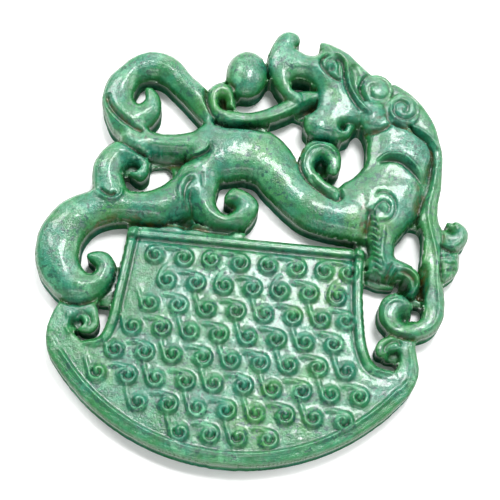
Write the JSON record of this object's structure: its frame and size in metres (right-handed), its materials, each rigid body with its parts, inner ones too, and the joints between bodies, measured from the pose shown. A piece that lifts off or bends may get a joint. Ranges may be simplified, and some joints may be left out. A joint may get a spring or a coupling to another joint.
{
  "type": "pierced jade carving",
  "caption": "Flat pierced jade carving: a curling dragon with a pearl above a curved axe blade covered in rows of small raised scrolls.",
  "frame": {"origin": "centre of the flat back's bounding box, with the back at z = 0", "axes": "+Z out of the carved face, +Y from the cutting edge towards the dragon's head"},
  "size_m": [0.0698, 0.0764, 0.0066],
  "materials": {
    "jade": "polished"
  },
  "bodies": {
    "root": {"jade_carving": "jade"}
  },
  "joints": []
}
